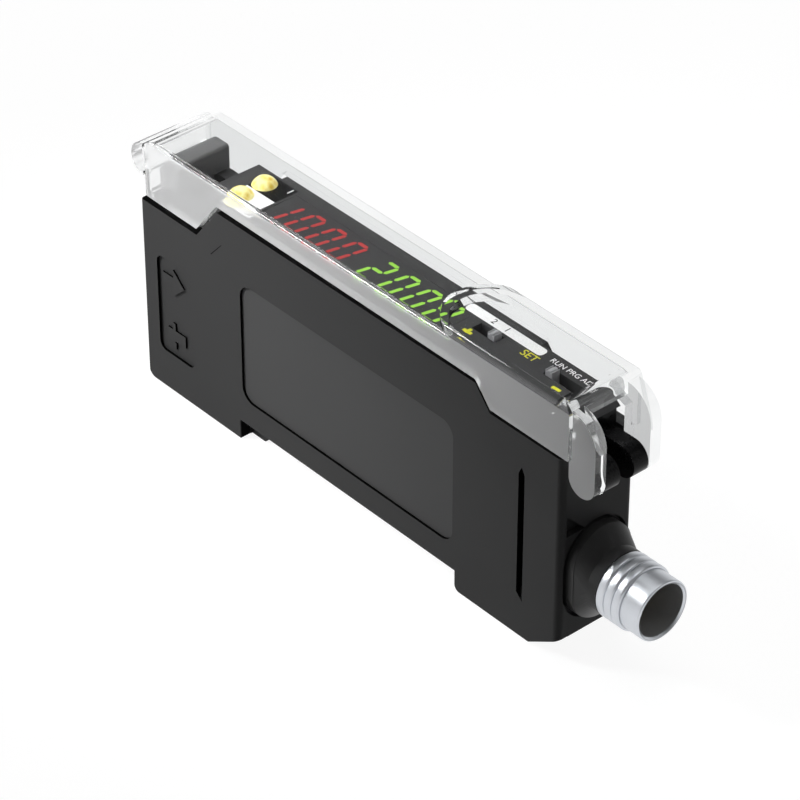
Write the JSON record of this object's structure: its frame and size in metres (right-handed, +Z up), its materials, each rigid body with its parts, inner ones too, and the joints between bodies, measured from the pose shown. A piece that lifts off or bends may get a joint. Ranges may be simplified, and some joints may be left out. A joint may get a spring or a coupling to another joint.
{
  "type": "fibre optic sensor amplifier",
  "caption": "Slim rail-mount fibre optic sensor amplifier with a clear hinged dust cover, digit displays, rocker, slide switches, fibre ports and a round plug.",
  "frame": {"origin": "middle of the part's box, on the plane of its feet", "axes": "+X from the fibre ports to the plug, +Y across the width, away from the label, +Z up"},
  "size_m": [0.0792, 0.01, 0.0329],
  "materials": {
    "case_black": "moulded black, fine satin",
    "label_grey": "printed dark grey film",
    "deck_black": "moulded black, satin",
    "smoked_window": "smoked, glossy",
    "display_red": "tinted red",
    "display_green": "tinted green",
    "lamp_yellow": "clear yellow dome",
    "board_green": "circuit board with green mask",
    "chip_black": "moulded package",
    "switch_grey": "moulded grey",
    "plunger_white": "moulded white",
    "knob_grey": "moulded grey, satin",
    "clear_cover": "clear polished plastic",
    "pin_steel": "ground steel",
    "seal_rubber": "matt rubber",
    "lens_clear": "clear lens",
    "plug_black": "moulded black, semi gloss",
    "barrel_silver": "nickel plated, turned",
    "contact_gold": "gold plated"
  },
  "bodies": {
    "housing": {"housing_tub": "case_black", "side_cover": "case_black", "side_label": "label_grey", "top_deck": "deck_black", "display_window": "smoked_window", "red_display": "display_red", "green_display": "display_green", "output_lamp_1": "lamp_yellow", "output_lamp_2": "lamp_yellow", "control_board": "board_green", "main_board": "board_green", "controller_chip": "chip_black", "tact_switches": "switch_grey", "channel_switch": "switch_grey", "mode_switch": "switch_grey", "clamp_pivot_pin": "pin_steel", "fibre_block": "case_black", "fibre_grips": "seal_rubber", "light_emitter": "lens_clear", "photodiode": "chip_black", "plug_flange": "plug_black", "plug_gasket": "seal_rubber", "plug_barrel": "barrel_silver", "contact_insert": "plug_black", "contact_pins": "contact_gold"},
    "cover": {"dust_cover": "clear_cover"},
    "lever": {"fibre_clamp_lever": "deck_black"},
    "plunger": {"set_plunger": "plunger_white"},
    "rocker": {"rocker_button": "deck_black"},
    "channel_slider": {"channel_knob": "knob_grey"},
    "mode_slider": {"mode_knob": "knob_grey"}
  },
  "joints": [
    {"name": "cover_hinge", "type": "hinge", "parent": "housing", "child": "cover", "pos_m": [0.03193, 0, 0.0241], "axis": [0, 1, 0], "range_deg": [0, 120]},
    {"name": "lever_tilt", "type": "hinge", "parent": "housing", "child": "lever", "pos_m": [-0.03222, 0, 0.018], "axis": [0, 1, 0], "range_deg": [0, 22]},
    {"name": "set_press", "type": "slide", "parent": "housing", "child": "plunger", "axis": [0, 0, -1], "range_m": [0, 0.0004], "stiffness_N_per_m": 400, "springref_m": -0.0002},
    {"name": "rocker_tip", "type": "hinge", "parent": "plunger", "child": "rocker", "pos_m": [0.01798, -0.00145, 0.026], "axis": [0, 1, 0], "range_deg": [-3, 3], "stiffness_Nm_per_rad": 0.01},
    {"name": "channel_slide", "type": "slide", "parent": "housing", "child": "channel_slider", "axis": [-1, 0, 0], "range_m": [0, 0.002]},
    {"name": "mode_slide", "type": "slide", "parent": "housing", "child": "mode_slider", "axis": [1, 0, 0], "range_m": [0, 0.003]}
  ]
}
